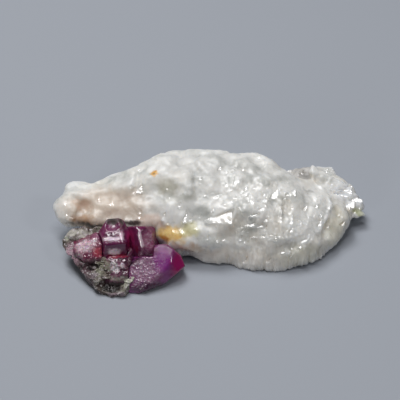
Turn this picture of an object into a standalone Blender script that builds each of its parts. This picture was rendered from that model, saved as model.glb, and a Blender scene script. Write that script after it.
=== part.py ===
"""Ruby in matrix: rough ruby crystals in a mica rind, grown on the front of a long white marble stone.

Each separate piece is one named object at its real size. The frame has +Z up, the stone's long way along X
and the ruby side towards -Y. The specimen rests on Z = 0, and the origin is on the flat of the stone's base.
Shapes are written in millimetres, and every mesh is scaled to metres when it becomes an object.
"""

import math

import bmesh
import bpy
from mathutils import Vector, noise

MM = 0.001

# Driving dimensions, in millimetres
STONE_LEFT = -26.4
STONE_RIGHT = 24.0
SEAT_GAP = 0.3
CUTTER_REACH = 40.0
STATION_STEP = 1.2
CRYSTAL_BEVEL = 0.14
MERGE_DISTANCE = 0.01

# The white stone's main mass is lofted. Each rail is a ridge or an edge that runs along it: where it is at a
# few stations from left to right, as (x, y, z). They go once round the stone, from the back of the base over
# the top to the front of the base.
LEFT_TIP = Vector((STONE_LEFT, -2.0, 5.3))
RIGHT_TIP = Vector((STONE_RIGHT, -2.4, 1.9))
RAILS = {
    "base back": (
        (-22.2, 0.0, 4.2), (-15.0, 1.5, 3.0), (-9.0, 4.0, 0.2), (-3.0, 6.0, -0.8), (6.0, 6.4, -0.8),
        (14.0, 5.4, -0.2), (18.0, 4.6, 0.9), (21.2, 3.2, 2.2),
    ),
    "back bulge": (
        (-22.2, 1.6, 5.4), (-15.0, 3.8, 5.4), (-9.0, 6.4, 6.0), (-3.0, 8.0, 6.0), (6.0, 8.2, 5.4),
        (14.0, 6.6, 4.0), (18.0, 5.8, 4.0), (21.2, 4.2, 4.2),
    ),
    "back shoulder": (
        (-22.2, 1.9, 7.1), (-18.5, 2.3, 7.6), (-15.0, 3.0, 8.3), (-11.6, 3.6, 9.6), (-9.0, 4.8, 10.6),
        (-3.0, 5.2, 10.6), (4.0, 5.2, 10.5), (8.2, 5.0, 10.3), (11.0, 4.2, 9.1), (14.0, 3.6, 7.6),
        (18.0, 2.6, 6.2), (21.2, 2.4, 5.4),
    ),
    "crest back": (
        (-22.2, 0.4, 7.9), (-15.0, 0.8, 9.3), (-11.6, 1.4, 10.6), (-9.0, 2.2, 11.9), (-3.0, 2.0, 12.0),
        (4.0, 2.0, 11.8), (9.5, 2.0, 11.1), (14.0, 1.9, 9.1), (18.0, 1.2, 7.3), (21.2, 0.9, 5.7),
    ),
    "crest front": (
        (-22.2, -1.9, 7.8), (-15.0, -2.2, 9.0), (-9.0, -1.6, 11.2), (-3.0, -2.0, 11.8), (4.0, -2.6, 11.7),
        (9.5, -2.0, 11.1), (14.0, -1.2, 9.4), (18.0, -1.6, 7.7), (21.2, -1.0, 5.4),
    ),
    "front shoulder": (
        (-22.2, -3.9, 6.7), (-15.0, -5.2, 7.9), (-9.0, -5.8, 8.9), (-3.0, -6.6, 9.4), (4.0, -7.4, 9.2),
        (9.5, -7.6, 8.7), (14.0, -6.6, 7.6), (18.0, -5.0, 6.4), (21.2, -3.4, 4.7),
    ),
    "front bulge": (
        (-22.2, -5.5, 5.0), (-15.0, -7.6, 6.0), (-9.0, -9.0, 5.0), (-3.0, -10.6, 4.6), (4.0, -11.2, 4.4),
        (9.5, -11.7, 4.0), (14.0, -11.6, 3.4), (18.0, -9.4, 3.2), (21.2, -6.0, 2.8),
    ),
    "front foot": (
        (-22.2, -5.0, 3.3), (-15.0, -6.8, 2.9), (-9.0, -8.6, 1.6), (-3.0, -10.4, 0.6), (4.0, -11.5, 0.3),
        (9.5, -12.6, 0.1), (14.0, -12.5, 0.0), (18.0, -10.2, 0.3), (21.2, -6.5, 0.8),
    ),
    "base front": (
        (-22.2, -3.0, 3.3), (-15.0, -4.4, 2.3), (-9.0, -6.0, 0.0), (-3.0, -8.0, -0.8), (4.0, -9.4, -0.8),
        (9.5, -10.2, -0.8), (14.0, -9.4, -0.7), (18.0, -6.6, 0.0), (21.2, -3.4, 1.4),
    ),
}
# How fast the section shrinks past the last station of the rails: a low power is pointed, a high one blunt
LEFT_BLUNTNESS = 2.4
RIGHT_BLUNTNESS = 2.6

# Blocks that stand out of the main mass. Each has flat faces, as (azimuth, elevation, a point on the face).
# Azimuth 0 faces +X and -90 faces the viewer, in degrees.
TOP_SLAB = (
    (90, 82, (-3.0, 3.6, 11.3)),
    (-15, 25, (1.9, 3.0, 12.0)),
    (172, 46, (-8.0, 3.0, 12.0)),
    (146, 12, (-8.6, 5.0, 10.0)),
    (90, 25, (-3.0, 6.1, 11.0)),
    (-100, 58, (-3.0, 0.6, 12.1)),
    (0, -90, (0.0, 0.0, 8.0)),
)
BACK_TERRACE = (
    (75, 84, (17.0, 6.4, 5.4)),
    (-60, 60, (18.5, 3.0, 5.6)),
    (90, 8, (16.0, 8.1, 4.0)),
    (32, 24, (22.4, 5.4, 4.4)),
    (150, 14, (9.6, 6.0, 4.0)),
    (0, 30, (23.2, 3.6, 4.6)),
    (-90, 0, (16.0, 1.0, 4.0)),
    (90, -60, (16.0, 6.0, 1.6)),
)
TERRACE_KNOB = (
    (70, 76, (20.6, 4.4, 6.0)),
    (160, 40, (18.6, 4.4, 5.4)),
    (20, 40, (22.4, 4.0, 5.4)),
    (85, 10, (20.5, 6.2, 4.0)),
    (-80, 50, (20.5, 1.8, 5.6)),
    (0, -90, (20.0, 4.0, 2.0)),
)
RIGHT_SHARD = (
    (-45, 60, (23.5, 0.0, 4.3)),
    (-46, 0, (24.6, -0.9, 3.3)),
    (-80, 20, (22.0, -3.0, 3.6)),
    (64, 12, (24.4, 2.6, 4.0)),
    (-60, -68, (23.0, -1.0, 1.7)),
    (180, 0, (17.0, 0.0, 4.0)),
    (95, -50, (20.0, 4.0, 1.8)),
    (5, 20, (26.5, 1.2, 3.4)),
)
STONE_BLOCKS = (TOP_SLAB, BACK_TERRACE, TERRACE_KNOB, RIGHT_SHARD)

# How a broken surface departs from its smooth form. Each is (wavelength, height) in millimetres: long swells,
# shell-like scoops that meet in crests, flat breaks at angles to each other, and short grain.
STONE_SWELL = (7.5, 0.9)
STONE_SCOOPS = (2.7, 0.50)
STONE_BREAKS = (4.3, 1.10)
STONE_GRAIN = (0.9, 0.10)
STONE_VOXEL = 0.25
STONE_TRIANGLES = 5600
STONE_SEED = 3.0

# The middle height of the breaks, which keeps the rough surface around the smooth form
BREAKS_MEAN = 0.15
# Spreads the cells' tilts, so that cells near each other lean different ways
TILT_SEED = 37.0
# How soon a scoop reaches its crest
SCOOP_STEEPNESS = 2.2
# How far the surface may stand out and sink in, as shares of the breaks' height
HIGHEST_BREAK = 0.45
DEEPEST_BREAK = 0.60

RIND_SWELL = (4.0, 0.35)
RIND_SCOOPS = (1.5, 0.16)
RIND_BREAKS = (2.2, 0.40)
RIND_GRAIN = (0.6, 0.08)
RIND_VOXEL = 0.18
RIND_TRIANGLES = 2400
RIND_SEED = 8.0
RIND_ROUGHNESS = 0.35

RUBY_SWELL = (2.6, 0.14)
RUBY_SCOOPS = (1.2, 0.07)
RUBY_BREAKS = (1.5, 0.16)
RUBY_GRAIN = (0.5, 0.03)
RUBY_VOXEL = 0.16
RUBY_TRIANGLES = 420
RUBY_ROUGHNESS = 0.12

RUBY_PURPLE = (0.105, 0.012, 0.042)
RUBY_ROSE = (0.27, 0.06, 0.10)
RUBY_MAGENTA = (0.22, 0.012, 0.105)
MARBLE_WHITE = (0.72, 0.70, 0.66)
MICA_GREY = (0.20, 0.18, 0.155)

# The crystals' flat faces
BLOCK_FACES = (
    (-100, 80, (-15.4, -9.4, 7.2)),
    (-97, 62, (-15.3, -11.0, 6.6)),
    (0, 33, (-14.6, -10.0, 7.1)),
    (-86, 9, (-15.0, -12.4, 5.6)),
    (-160, 8, (-17.5, -11.2, 5.0)),
    (-168, 46, (-17.2, -10.2, 6.6)),
    (140, 6, (-17.2, -8.4, 5.0)),
    (-8, 4, (-13.45, -11.0, 5.0)),
    (40, 2, (-13.4, -8.0, 5.0)),
    (95, 36, (-15.4, -7.6, 6.9)),
    (90, 0, (-15.4, -6.0, 5.0)),
    (0, -90, (0.0, 0.0, 2.0)),
)
PRISM_FACES = (
    (-150, 10, (-11.6, -10.8, 5.6)),
    (-105, 30, (-11.1, -10.9, 5.7)),
    (-56, 35, (-11.1, -10.9, 5.7)),
    (-85, 8, (-10.9, -11.7, 4.5)),
    (-10, 15, (-9.0, -10.2, 3.6)),
    (0, 42, (-9.7, -9.8, 5.9)),
    (-90, 84, (-10.8, -9.6, 6.85)),
    (90, 48, (-10.6, -9.2, 6.8)),
    (90, 10, (-10.6, -6.6, 5.0)),
    (178, 0, (-14.6, -9.0, 5.0)),
    (0, -90, (0.0, 0.0, 1.8)),
)
LEFT_FACES = (
    (-122, 46, (-20.5, -11.8, 4.95)),
    (150, 65, (-20.2, -10.6, 5.0)),
    (-80, 34, (-18.3, -12.5, 4.75)),
    (-30, 20, (-17.3, -12.0, 4.4)),
    (-176, 4, (-22.0, -11.4, 4.4)),
    (-136, -12, (-20.9, -13.0, 3.5)),
    (-80, 76, (-18.8, -10.6, 5.7)),
    (90, 20, (-19.4, -9.0, 5.0)),
    (-100, -30, (-19.4, -13.7, 3.3)),
    (0, -90, (0.0, 0.0, 2.7)),
    (0, 0, (-16.9, -11.0, 4.0)),
)
LOWER_FACES = (
    (-132, 40, (-16.0, -15.2, 2.7)),
    (-104, 58, (-14.9, -15.0, 3.3)),
    (-70, 46, (-14.2, -15.4, 3.0)),
    (-42, 34, (-13.1, -15.2, 2.8)),
    (-100, 30, (-15.0, -16.2, 2.3)),
    (-88, 12, (-14.8, -16.6, 1.8)),
    (178, 15, (-17.0, -14.8, 2.6)),
    (0, 10, (-12.6, -15.0, 2.6)),
    (90, 84, (-14.8, -13.5, 3.9)),
    (90, 0, (-14.8, -10.6, 4.0)),
    (0, -90, (0.0, 0.0, 0.8)),
)
RIGHT_FACES = (
    (-100, 50, (-10.5, -14.0, 4.45)),
    (-98, 18, (-10.9, -17.5, 1.5)),
    (-95, 52, (-6.25, -13.9, 4.4)),
    (-35, 35, (-6.25, -13.9, 4.4)),
    (-66, 22, (-8.2, -16.2, 2.2)),
    (20, 12, (-4.3, -13.4, 2.6)),
    (-80, 74, (-8.6, -12.9, 4.95)),
    (95, 45, (-7.4, -11.6, 5.0)),
    (40, 34, (-5.3, -12.7, 4.2)),
    (150, 50, (-8.7, -12.1, 5.0)),
    (90, 0, (-9.0, -9.6, 3.0)),
    (180, 8, (-12.9, -15.0, 2.6)),
    (-62, -36, (-9.2, -17.5, 1.2)),
    (-38, -36, (-6.4, -15.7, 1.5)),
    (-10, -40, (-4.6, -14.4, 1.6)),
    (0, -90, (0.0, 0.0, 0.15)),
)
RIND_FACES = (
    (-134, -14, (-20.7, -15.7, 2.9)),
    (-112, -6, (-17.0, -18.2, 0.8)),
    (-84, -4, (-14.0, -18.9, 0.5)),
    (-44, 20, (-12.6, -17.4, 1.4)),
    (-92, 62, (-15.0, -16.8, 2.3)),
    (-124, 56, (-21.4, -12.2, 3.7)),
    (-158, -38, (-24.0, -11.0, 3.5)),
    (172, -6, (-24.4, -9.6, 4.4)),
    (132, 10, (-23.9, -8.9, 4.6)),
    (-60, 84, (-21.0, -9.4, 5.1)),
    (60, 30, (-17.0, -7.0, 4.6)),
    (90, 10, (-20.0, -7.0, 3.0)),
    (0, 0, (-9.6, -12.0, 2.0)),
    (0, -90, (0.0, 0.0, 0.0)),
)

# The right crystal and the rind step down in front of the prism, along a face that leans back.
FRONT_STEP = (
    (-90, -50, (-10.5, -14.0, 4.4)),
    (-4, 0, (-9.0, -13.0, 4.5)),
    (180, 0, (-13.4, -13.0, 4.5)),
)
# How much lower the rind steps down than the crystal
RIND_STEP_DROP = 1.2
# The rind stays low between the upper block and the lower crystal.
RIND_SHELF = (
    (180, 0, (-17.0, -13.0, 4.0)),
    (0, 0, (-12.4, -13.0, 4.0)),
    (-90, 0, (-15.0, -14.6, 4.0)),
    (90, 0, (-15.0, -11.0, 4.0)),
    (0, -90, (-15.0, -13.0, 3.95)),
)

# Hollows, as (centre, radii): the etched oval on the upper crystal, the open pocket under the rind's flap,
# and the deep pit and the trench between the crystals
ETCHED_OVAL = ((-15.9, -9.7, 7.6), (1.5, 1.45, 0.9))
FLAP_POCKET = ((-15.9, -18.1, 1.65), (2.4, 2.0, 1.0))
DEEP_PIT = ((-19.4, -14.4, 3.7), (0.75, 0.9, 0.9))
TRENCH = ((-20.0, -14.6, 2.9), (2.2, 0.7, 0.55))


def make_collection(name):
    collection = bpy.data.collections.new(name)
    bpy.context.scene.collection.children.link(collection)
    return collection


def make_material(name, colour, roughness):
    material = bpy.data.materials.new(name)
    material.use_nodes = True
    surface = material.node_tree.nodes["Principled BSDF"]
    surface.inputs["Base Color"].default_value = (*colour, 1.0)
    surface.inputs["Roughness"].default_value = roughness
    surface.inputs["Metallic"].default_value = 0.0
    return material


def make_object(name, shape, collection, material=None):
    """An object from a bmesh in millimetres. The bmesh is used up."""
    bmesh.ops.scale(shape, vec=(MM, MM, MM), verts=shape.verts)
    mesh = bpy.data.meshes.new(name)
    shape.to_mesh(mesh)
    shape.free()
    made = bpy.data.objects.new(name, mesh)
    collection.objects.link(made)
    if material:
        mesh.materials.append(material)
    return made


def make_cutter(name, shape, collection):
    cutter = make_object(name, shape, collection)
    cutter.hide_render = True
    cutter.display_type = "WIRE"
    return cutter


def subtract(target, cutter):
    cut = target.modifiers.new(f"without {cutter.name}", "BOOLEAN")
    cut.operation = "DIFFERENCE"
    cut.object = cutter
    cut.solver = "EXACT"


def face_outwards(shape):
    bmesh.ops.recalc_face_normals(shape, faces=shape.faces)
    if shape.calc_volume(signed=True) < 0:
        bmesh.ops.reverse_faces(shape, faces=shape.faces)


def through_modifier(shape, kind, **settings):
    """The shape as a modifier with these settings leaves it. The bmesh is used up."""
    mesh = bpy.data.meshes.new("work")
    shape.to_mesh(mesh)
    shape.free()
    holder = bpy.data.objects.new("work", mesh)
    bpy.context.scene.collection.objects.link(holder)
    modifier = holder.modifiers.new("work", kind)
    for name, value in settings.items():
        setattr(modifier, name, value)
    evaluated = holder.evaluated_get(bpy.context.evaluated_depsgraph_get())
    result = bmesh.new()
    result.from_mesh(evaluated.to_mesh())
    face_outwards(result)
    bpy.data.objects.remove(holder)
    bpy.data.meshes.remove(mesh)
    return result


def direction(azimuth, elevation):
    """The unit vector that points this way."""
    a, e = math.radians(azimuth), math.radians(elevation)
    return Vector((math.cos(e) * math.cos(a), math.cos(e) * math.sin(a), math.sin(e)))


def along_rail(points, x):
    """Where a rail is at x: a smooth curve through its points, which aren't evenly spaced."""
    last = len(points) - 2
    i = min(max(0, sum(point[0] <= x for point in points) - 1), last)
    left, right = points[i], points[i + 1]
    before, after = points[max(0, i - 1)], points[min(last + 1, i + 2)]
    span = right[0] - left[0]
    t = (x - left[0]) / span
    place = [x]
    for k in (1, 2):
        slope_left = (right[k] - before[k]) / (right[0] - before[0]) * span
        slope_right = (after[k] - left[k]) / (after[0] - left[0]) * span
        place.append(
            (2 * t**3 - 3 * t**2 + 1) * left[k]
            + (t**3 - 2 * t**2 + t) * slope_left
            + (3 * t**2 - 2 * t**3) * right[k]
            + (t**3 - t**2) * slope_right
        )
    return Vector(place)


def section_point(points, x):
    """A rail's point at x. Past the rail's ends the section shrinks towards the stone's tip."""
    first, last = points[0][0], points[-1][0]
    if x < first:
        shrink = 1 - ((first - x) / (first - LEFT_TIP.x)) ** LEFT_BLUNTNESS
        place = LEFT_TIP.lerp(Vector(points[0]), shrink)
    elif x > last:
        shrink = 1 - ((x - last) / (RIGHT_TIP.x - last)) ** RIGHT_BLUNTNESS
        place = RIGHT_TIP.lerp(Vector(points[-1]), shrink)
    else:
        return along_rail(points, x)
    place.x = x
    return place


def loft_stone():
    """The stone's main mass: a ring of points at each station, bridged to the next and closed at the tips."""
    shape = bmesh.new()
    count = round((STONE_RIGHT - STONE_LEFT) / STATION_STEP)
    rings = []
    for i in range(1, count):
        # Stations crowd towards the tips, where the section changes fastest.
        share = (1 - math.cos(math.pi * i / count)) / 2
        x = STONE_LEFT + (STONE_RIGHT - STONE_LEFT) * share
        ring = [shape.verts.new(section_point(rail, x)) for rail in RAILS.values()]
        edges = [shape.edges.new((ring[j - 1], ring[j])) for j in range(len(ring))]
        if rings:
            bmesh.ops.bridge_loops(shape, edges=rings[-1] + edges)
        rings.append(edges)
    for edges, tip in ((rings[0], LEFT_TIP), (rings[-1], RIGHT_TIP)):
        cap = bmesh.ops.contextual_create(shape, geom=edges)["faces"]
        point = bmesh.ops.poke(shape, faces=cap)["verts"][0]
        point.co = tip
    face_outwards(shape)
    return shape


def slice_off(shape, through, normal):
    """Cuts away what lies on the side of the plane that its normal points to, and closes the cut."""
    geometry = shape.verts[:] + shape.edges[:] + shape.faces[:]
    cut = bmesh.ops.bisect_plane(
        shape, geom=geometry, dist=1e-5, plane_co=through, plane_no=normal, clear_outer=True
    )
    edges = [item for item in cut["geom_cut"] if isinstance(item, bmesh.types.BMEdge)]
    bmesh.ops.edgenet_fill(shape, edges=edges)


def polyhedron(faces, grow=0.0):
    """A convex body bounded by flat faces. grow moves every face outwards."""
    shape = bmesh.new()
    bmesh.ops.create_cube(shape, size=2 * CUTTER_REACH)
    for azimuth, elevation, point in faces:
        normal = direction(azimuth, elevation)
        slice_off(shape, Vector(point) + normal * grow, normal)
    bmesh.ops.remove_doubles(shape, verts=shape.verts, dist=MERGE_DISTANCE)
    bmesh.ops.dissolve_degenerate(shape, edges=shape.edges, dist=MERGE_DISTANCE)
    face_outwards(shape)
    return shape


def ellipsoid(centre, radii, segments=20):
    shape = bmesh.new()
    bmesh.ops.create_uvsphere(shape, u_segments=segments, v_segments=segments // 2, radius=1.0)
    bmesh.ops.scale(shape, vec=radii, verts=shape.verts)
    bmesh.ops.translate(shape, vec=centre, verts=shape.verts)
    return shape


def append(shape, other):
    """Adds the other bmesh to the shape. The other one is used up."""
    mesh = bpy.data.meshes.new("work")
    other.to_mesh(mesh)
    other.free()
    shape.from_mesh(mesh)
    bpy.data.meshes.remove(mesh)


def scoops(place, size):
    """Shell-like hollows that meet in sharp crests: 0 in the middle of a hollow and about 1 on a crest."""
    distances, _ = noise.voronoi(place / size)
    return min(1.0, SCOOP_STEEPNESS * distances[0] ** 2)


def breaks(place, size):
    """Nearly flat faces at angles to each other, which meet in creases: one tilted face in each cell."""
    at = place / size
    distances, cells = noise.voronoi(at)
    heights = []
    for distance, cell in zip(distances, cells):
        centre = Vector(cell)
        tilt = noise.cell_vector(centre * TILT_SEED) - Vector((0.5, 0.5, 0.5))
        heights.append(2.0 * (at - centre).dot(tilt) - distance * distance)
    return max(heights)


def roughen(shape, swell, scoop, broken, grain, seed):
    """Moves each vertex along its normal as a broken surface departs from its smooth form."""
    shape.normal_update()
    moves = []
    for vertex in shape.verts:
        place = vertex.co + Vector((seed, -seed, 2.0 * seed))
        offset = swell[1] * noise.noise(place / swell[0])
        offset += scoop[1] * (scoops(place, scoop[0]) - 0.5)
        offset += broken[1] * (breaks(place, broken[0]) - BREAKS_MEAN)
        offset += grain[1] * noise.noise(place / grain[0])
        offset = max(-broken[1] * DEEPEST_BREAK, min(offset, broken[1] * HIGHEST_BREAK))
        moves.append(vertex.normal * offset)
    for vertex, move in zip(shape.verts, moves):
        vertex.co += move


def thin_out(shape, triangles):
    """The same shape with about this many triangles."""
    bmesh.ops.triangulate(shape, faces=shape.faces)
    return through_modifier(shape, "DECIMATE", ratio=triangles / len(shape.faces))


def keep_main_body(shape):
    """Deletes the specks that a remesh can leave beside a thin edge."""
    left = set(shape.verts)
    bodies = []
    while left:
        body = {left.pop()}
        front = list(body)
        while front:
            vertex = front.pop()
            near = {edge.other_vert(vertex) for edge in vertex.link_edges} - body
            body |= near
            front.extend(near)
        left -= body
        bodies.append(body)
    bodies.sort(key=len)
    for body in bodies[:-1]:
        bmesh.ops.delete(shape, geom=list(body), context="VERTS")


def rough_body(shape, voxel, swell, scoop, broken, grain, seed, triangles):
    """The shape with a broken surface. The remesh fuses its blocks first, and then opens out any folds."""
    shape = through_modifier(shape, "REMESH", mode="VOXEL", voxel_size=voxel)
    roughen(shape, swell, scoop, broken, grain, seed)
    shape = through_modifier(shape, "REMESH", mode="VOXEL", voxel_size=voxel)
    keep_main_body(shape)
    return thin_out(shape, triangles)


def stone_shape():
    shape = loft_stone()
    for faces in STONE_BLOCKS:
        append(shape, polyhedron(faces))
    return rough_body(
        shape, STONE_VOXEL, STONE_SWELL, STONE_SCOOPS, STONE_BREAKS, STONE_GRAIN, STONE_SEED, STONE_TRIANGLES
    )


def rind_shape():
    return rough_body(
        polyhedron(RIND_FACES), RIND_VOXEL, RIND_SWELL, RIND_SCOOPS, RIND_BREAKS, RIND_GRAIN, RIND_SEED,
        RIND_TRIANGLES,
    )


def rough_crystal(faces, seed):
    """A crystal whose faces are etched and broken."""
    return rough_body(
        polyhedron(faces), RUBY_VOXEL, RUBY_SWELL, RUBY_SCOOPS, RUBY_BREAKS, RUBY_GRAIN, seed, RUBY_TRIANGLES,
    )


def clean_crystal(faces):
    """A crystal with flat faces and slightly worn edges."""
    shape = polyhedron(faces)
    bmesh.ops.bevel(
        shape, geom=shape.edges[:], affect="EDGES", offset=CRYSTAL_BEVEL, segments=1, profile=0.5,
        clamp_overlap=True, material=-1,
    )
    return shape


def main():
    for old in list(bpy.data.objects):
        bpy.data.objects.remove(old, do_unlink=True)
    parts = make_collection("ruby_in_matrix")
    cutters = make_collection("cutters")
    marble = make_material("white marble", MARBLE_WHITE, 0.35)
    purple = make_material("purple ruby", RUBY_PURPLE, 0.15)
    rose = make_material("rose ruby", RUBY_ROSE, 0.3)
    magenta = make_material("magenta ruby", RUBY_MAGENTA, 0.12)
    mica = make_material("mica schist", MICA_GREY, 0.5)

    stone = make_object("white_matrix", stone_shape(), parts, marble)
    rind = make_object("mica_rind", rind_shape(), parts, mica)
    upper = make_object("upper_ruby_pair", clean_crystal(BLOCK_FACES), parts, purple)
    prism = make_cutter("prism", clean_crystal(PRISM_FACES), cutters)
    left = make_object("left_ruby", rough_crystal(LEFT_FACES, seed=1.0), parts, rose)
    lower = make_object("lower_ruby", rough_crystal(LOWER_FACES, seed=5.0), parts, purple)
    right = make_object("right_ruby", clean_crystal(RIGHT_FACES), parts, magenta)

    joined = upper.modifiers.new("grown together with the prism", "BOOLEAN")
    joined.operation = "UNION"
    joined.object = prism
    joined.solver = "EXACT"
    subtract(upper, make_cutter("etched oval", ellipsoid(*ETCHED_OVAL), cutters))

    ground = bmesh.new()
    bmesh.ops.create_cube(ground, size=2 * CUTTER_REACH)
    bmesh.ops.translate(ground, vec=(0.0, 0.0, -CUTTER_REACH), verts=ground.verts)
    ground = make_cutter("ground", ground, cutters)
    subtract(stone, ground)
    subtract(rind, ground)

    # Each piece makes room for the crystals that grew before it.
    wide = SEAT_GAP + RUBY_ROUGHNESS
    block_seat = make_cutter("block seat", polyhedron(BLOCK_FACES, SEAT_GAP), cutters)
    prism_seat = make_cutter("prism seat", polyhedron(PRISM_FACES, SEAT_GAP), cutters)
    right_seat = make_cutter("right seat", polyhedron(RIGHT_FACES, SEAT_GAP), cutters)
    left_seat = make_cutter("left seat", polyhedron(LEFT_FACES, wide), cutters)
    lower_seat = make_cutter("lower seat", polyhedron(LOWER_FACES, wide), cutters)
    rind_seat = make_cutter("rind seat", polyhedron(RIND_FACES, SEAT_GAP + RIND_ROUGHNESS), cutters)
    for target, seats in (
        (right, (block_seat, prism_seat)),
        (left, (block_seat,)),
        (lower, (block_seat, prism_seat, right_seat)),
        (rind, (block_seat, prism_seat, right_seat, left_seat, lower_seat)),
        (stone, (block_seat, prism_seat, right_seat, rind_seat)),
    ):
        for seat in seats:
            subtract(target, seat)
    subtract(right, make_cutter("front step", polyhedron(FRONT_STEP), cutters))
    subtract(rind, make_cutter("rind step", polyhedron(FRONT_STEP, RIND_STEP_DROP), cutters))
    subtract(rind, make_cutter("rind shelf", polyhedron(RIND_SHELF), cutters))
    for name, hollow in (("flap pocket", FLAP_POCKET), ("deep pit", DEEP_PIT), ("trench", TRENCH)):
        subtract(rind, make_cutter(name, ellipsoid(*hollow), cutters))


main()
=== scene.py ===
# %% [markdown]
# # Ruby in matrix
#
# A hand specimen lies on a pale surface: a long white marble stone, and on its left front a cluster of
# dark purple to magenta rubies in a grey-green rind of mica. The imported model already holds every piece
# at its real size, in flat facets. This lesson gives each piece the surface that it has in the hand:
# sugary broken marble, flaky mica, and corundum faces that are glassy in one place and etched in another.

# %% Load the imported model
import math
import random

import bmesh
import bpy
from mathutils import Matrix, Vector, noise
from mathutils.bvhtree import BVHTree
from mathutils.geometry import intersect_point_line
from mathutils.kdtree import KDTree


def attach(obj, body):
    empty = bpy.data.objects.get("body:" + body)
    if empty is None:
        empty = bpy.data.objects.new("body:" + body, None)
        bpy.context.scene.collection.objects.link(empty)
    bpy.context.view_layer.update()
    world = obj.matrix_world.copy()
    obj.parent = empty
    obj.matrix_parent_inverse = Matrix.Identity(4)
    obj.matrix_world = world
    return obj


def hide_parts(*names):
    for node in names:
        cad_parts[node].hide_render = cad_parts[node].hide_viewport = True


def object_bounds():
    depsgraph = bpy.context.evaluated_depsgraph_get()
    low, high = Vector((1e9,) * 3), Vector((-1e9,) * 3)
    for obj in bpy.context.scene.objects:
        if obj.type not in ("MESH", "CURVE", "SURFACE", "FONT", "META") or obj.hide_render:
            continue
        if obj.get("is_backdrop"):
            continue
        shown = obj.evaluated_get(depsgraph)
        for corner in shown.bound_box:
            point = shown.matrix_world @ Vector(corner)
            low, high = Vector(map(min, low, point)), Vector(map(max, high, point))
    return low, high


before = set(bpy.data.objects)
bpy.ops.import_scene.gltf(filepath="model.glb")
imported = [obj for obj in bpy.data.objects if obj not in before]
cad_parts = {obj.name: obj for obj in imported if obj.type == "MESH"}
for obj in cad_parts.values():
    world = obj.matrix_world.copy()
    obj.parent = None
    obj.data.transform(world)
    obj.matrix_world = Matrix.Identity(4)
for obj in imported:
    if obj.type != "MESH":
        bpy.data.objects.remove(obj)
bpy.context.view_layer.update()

MM = 0.001
print("nodes:", sorted(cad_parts))

# %% [markdown]
# ## The camera
#
# The specimen is seen from the front, 40 degrees above the table, through a long lens, so parallel edges
# stay nearly parallel. The picture is 400 pixels square and shows 6.08 pixels for each millimetre at the
# depth of the rubies, which fixes how far away the camera stands.

# %% Place the camera
IMAGE_PIXELS = 400
PIXELS_PER_MM = 6.08
CAMERA_ELEVATION = math.radians(40)
CAMERA_AIM = Vector((-1.65, -3.04, 7.27)) * MM
FOCAL_LENGTH = 150.0
SENSOR_WIDTH = 36.0
NEAREST_SEEN = 10 * MM

camera_data = bpy.data.cameras.new("camera")
camera_data.lens = FOCAL_LENGTH
camera_data.sensor_width = SENSOR_WIDTH
camera_data.clip_start = NEAREST_SEEN
camera = bpy.data.objects.new("camera", camera_data)
towards_camera = Vector((0, -math.cos(CAMERA_ELEVATION), math.sin(CAMERA_ELEVATION)))
camera_distance = IMAGE_PIXELS / PIXELS_PER_MM * MM * FOCAL_LENGTH / SENSOR_WIDTH
camera.location = CAMERA_AIM + towards_camera * camera_distance
camera.rotation_mode = "QUATERNION"
camera.rotation_quaternion = towards_camera.to_track_quat("Z", "Y")
bpy.context.scene.collection.objects.link(camera)
bpy.context.scene.camera = camera
print("camera distance in mm:", round(camera_distance / MM, 1))

# %% [markdown]
# ## Studio light
#
# A large soft box hangs to the left, above and behind the stone, so its upper left bevel is bright and a
# soft shadow falls to the front and the right. A narrower, brighter strip hangs over the stone, and a
# small panel stands at each front corner. They add less to the shading, but each cleavage plane and
# crystal face that leans their way mirrors one of them.

# %% Colours and the soft box
LIGHTS_AIM = Vector((-2.0, -8.0, 5.0))


def linear(hex_colour):
    """An sRGB colour such as "#C0FFEE" as linear red, green, blue and an alpha of 1."""
    channels = [int(hex_colour[i:i + 2], 16) / 255 for i in (1, 3, 5)]
    return (*[c / 12.92 if c <= 0.04045 else ((c + 0.055) / 1.055) ** 2.4 for c in channels], 1.0)


def add_soft_box(name, place, width, depth, watts, colour):
    """An area light at this place, in millimetres. It looks at LIGHTS_AIM, on the front of the specimen."""
    data = bpy.data.lights.new(name, "AREA")
    data.shape = "RECTANGLE"
    data.size = width * MM
    data.size_y = depth * MM
    data.energy = watts
    data.color = linear(colour)[:3]
    light = bpy.data.objects.new(name, data)
    light.location = Vector(place) * MM
    light.rotation_mode = "QUATERNION"
    light.rotation_quaternion = (Vector(place) - LIGHTS_AIM).to_track_quat("Z", "Y")
    bpy.context.scene.collection.objects.link(light)


# %% [markdown]
# ## The world and the lights
#
# The world is a weak, even grey that only keeps the shadows from going black. The boxes do the rest.
# Their places and sizes are in millimetres, and their strengths in watts.

# %% Light the stage
WORLD_GREY = "#E8EAEE"
WORLD_STRENGTH = 0.08
LIGHTS = {
    "overhead box": ((-120, 160, 430), (210, 210), 1.38, "#FFFFFF"),
    "glint strip": ((-17, -40, 450), (200, 60), 0.50, "#FFFFFF"),
    "front left panel": ((-119, -222, 85), (44, 44), 0.06, "#FFFDF8"),
    "front right panel": ((147, -116, 181), (40, 40), 0.05, "#FFFFFF"),
}

world = bpy.data.worlds.new("studio")
world.use_nodes = True
background = world.node_tree.nodes["Background"]
background.inputs["Color"].default_value = linear(WORLD_GREY)
background.inputs["Strength"].default_value = WORLD_STRENGTH
bpy.context.scene.world = world
bpy.context.scene.view_settings.view_transform = "Standard"

for name, (place, (width, depth), watts, colour) in LIGHTS.items():
    add_soft_box(name, place, width, depth, watts, colour)

# %% [markdown]
# ## The table
#
# The surface below is plain, matt and pale blue-grey. It isn't part of the specimen, so it is marked as
# stage.

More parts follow.
